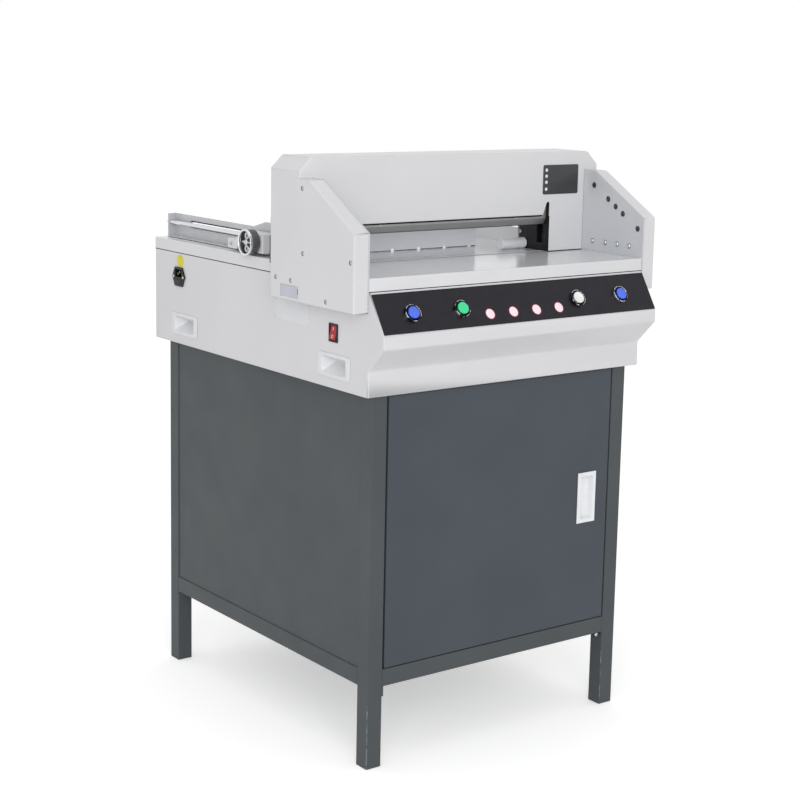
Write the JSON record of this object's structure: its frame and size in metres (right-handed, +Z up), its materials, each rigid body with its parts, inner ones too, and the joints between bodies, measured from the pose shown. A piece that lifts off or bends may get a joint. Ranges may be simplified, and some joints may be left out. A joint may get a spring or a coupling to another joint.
{
  "type": "electric paper cutter",
  "caption": "Electric guillotine paper cutter on a cabinet stand, with a flat table, side light curtains, slanting knife, clamp and hand-wound backgauge.",
  "frame": {"origin": "on the floor under the middle of the machine's outline", "axes": "+X to the operator's right, -Y towards the operator, +Z up"},
  "size_m": [0.6606, 0.741, 1.0153],
  "materials": {
    "white_paint": "smooth satin paint on sheet steel",
    "stand_paint": "fine powder coat",
    "door_paint": "fine powder coat",
    "motor_paint": "machine paint",
    "grey_metal": "zinc plated",
    "polished_steel": "ground and polished",
    "dark_cast": "black painted casting",
    "black_plastic": "smooth moulding",
    "white_plastic": "smooth moulding",
    "blue_plastic": "translucent lens",
    "green_plastic": "translucent lens",
    "red_plastic": "translucent rocker"
  },
  "bodies": {
    "machine": {"leg_front_left": "stand_paint", "leg_front_right": "stand_paint", "leg_rear_left": "stand_paint", "leg_rear_right": "stand_paint", "rail_front": "stand_paint", "rail_rear": "stand_paint", "rail_left": "stand_paint", "rail_right": "stand_paint", "top_frame": "stand_paint", "side_panel_left": "stand_paint", "side_panel_right": "stand_paint", "rear_panel": "stand_paint", "cabinet_floor": "stand_paint", "hinge_pin_lower": "grey_metal", "hinge_pin_upper": "grey_metal", "machine_bed": "dark_cast", "lower_housing": "white_paint", "carry_cup_front_left": "white_plastic", "carry_cup_rear_left": "white_plastic", "carry_cup_front_right": "white_plastic", "carry_cup_rear_right": "white_plastic", "control_plate": "black_plastic", "button_bezel_cut_left": "polished_steel", "button_bezel_power": "polished_steel", "button_bezel_reset": "polished_steel", "button_bezel_cut_right": "polished_steel", "rocker_frame": "black_plastic", "inlet_socket": "black_plastic", "work_table": "white_paint", "cutting_stick": "white_plastic", "casing_left": "white_paint", "casing_right": "white_paint", "casing_liner_left": "grey_metal", "casing_liner_right": "grey_metal", "sensor_board_right": "black_plastic", "head_front_cover": "white_paint", "head_rear_cover": "white_paint", "upright_left": "dark_cast", "upright_right": "dark_cast", "head_beam": "dark_cast", "gear_motor": "motor_paint", "gauge_rail": "grey_metal", "gauge_guide_rod": "polished_steel", "guide_bar": "white_plastic"},
    "cabinet_door": {"door": "door_paint", "door_handle": "white_plastic"},
    "knife": {"knife_blade": "polished_steel", "knife_carrier": "dark_cast", "pull_rod": "grey_metal"},
    "crank": {"crank_arm": "grey_metal"},
    "clamp": {"clamp_bar": "grey_metal"},
    "gauge": {"gauge_carriage": "grey_metal", "backgauge": "white_paint"},
    "wheel": {"hand_wheel": "polished_steel"},
    "button_cut_left": {"button_cap_cut_left": "blue_plastic"},
    "button_power": {"button_cap_power": "green_plastic"},
    "button_reset": {"button_cap_reset": "white_plastic"},
    "button_cut_right": {"button_cap_cut_right": "blue_plastic"},
    "power_rocker": {"rocker": "red_plastic"},
    "inlet_drawer": {"fuse_drawer": "black_plastic"}
  },
  "joints": [
    {"name": "door_swing", "type": "hinge", "parent": "machine", "child": "cabinet_door", "pos_m": [-0.24205, -0.3115, 0], "axis": [0, 0, -1], "range_deg": [0, 95]},
    {"name": "knife_slide", "type": "slide", "parent": "machine", "child": "knife", "axis": [-0.4567, 0, -0.8896], "range_m": [0, 0.0547]},
    {"name": "crank_turn", "type": "hinge", "parent": "machine", "child": "crank", "pos_m": [0.272, -0.1202, 0.7003], "axis": [0, -1, 0], "range_deg": [0, 126]},
    {"name": "clamp_slide", "type": "slide", "parent": "machine", "child": "clamp", "axis": [0, 0, -1], "range_m": [0, 0.05]},
    {"name": "gauge_slide", "type": "slide", "parent": "machine", "child": "gauge", "axis": [0, 1, 0], "range_m": [-0.075, 0.23]},
    {"name": "wheel_turn", "type": "hinge", "parent": "gauge", "child": "wheel", "pos_m": [-0.296, 0.0215, 0.8573], "axis": [-1, 0, 0], "range_deg": [-360, 1100]},
    {"name": "button_cut_left_press", "type": "slide", "parent": "machine", "child": "button_cut_left", "axis": [0, 0.8494, -0.5277], "range_m": [0, 0.0035], "stiffness_N_per_m": 200, "springref_m": -0.001},
    {"name": "button_power_press", "type": "slide", "parent": "machine", "child": "button_power", "axis": [0, 0.8494, -0.5277], "range_m": [0, 0.0035], "stiffness_N_per_m": 200, "springref_m": -0.001},
    {"name": "button_reset_press", "type": "slide", "parent": "machine", "child": "button_reset", "axis": [0, 0.8494, -0.5277], "range_m": [0, 0.0035], "stiffness_N_per_m": 200, "springref_m": -0.001},
    {"name": "button_cut_right_press", "type": "slide", "parent": "machine", "child": "button_cut_right", "axis": [0, 0.8494, -0.5277], "range_m": [0, 0.0035], "stiffness_N_per_m": 200, "springref_m": -0.001},
    {"name": "rocker_tip", "type": "hinge", "parent": "machine", "child": "power_rocker", "pos_m": [-0.3, -0.232, 0.733], "axis": [0, -1, 0], "range_deg": [0, 18]},
    {"name": "fuse_drawer_slide", "type": "slide", "parent": "machine", "child": "inlet_drawer", "axis": [-1, 0, 0], "range_m": [0, 0.015]}
  ],
  "couplings": [
    {"joint": "crank_turn", "follows": "knife_slide", "rad_per_m": 40.062},
    {"joint": "wheel_turn", "follows": "gauge_slide", "rad_per_m": 83.333}
  ]
}
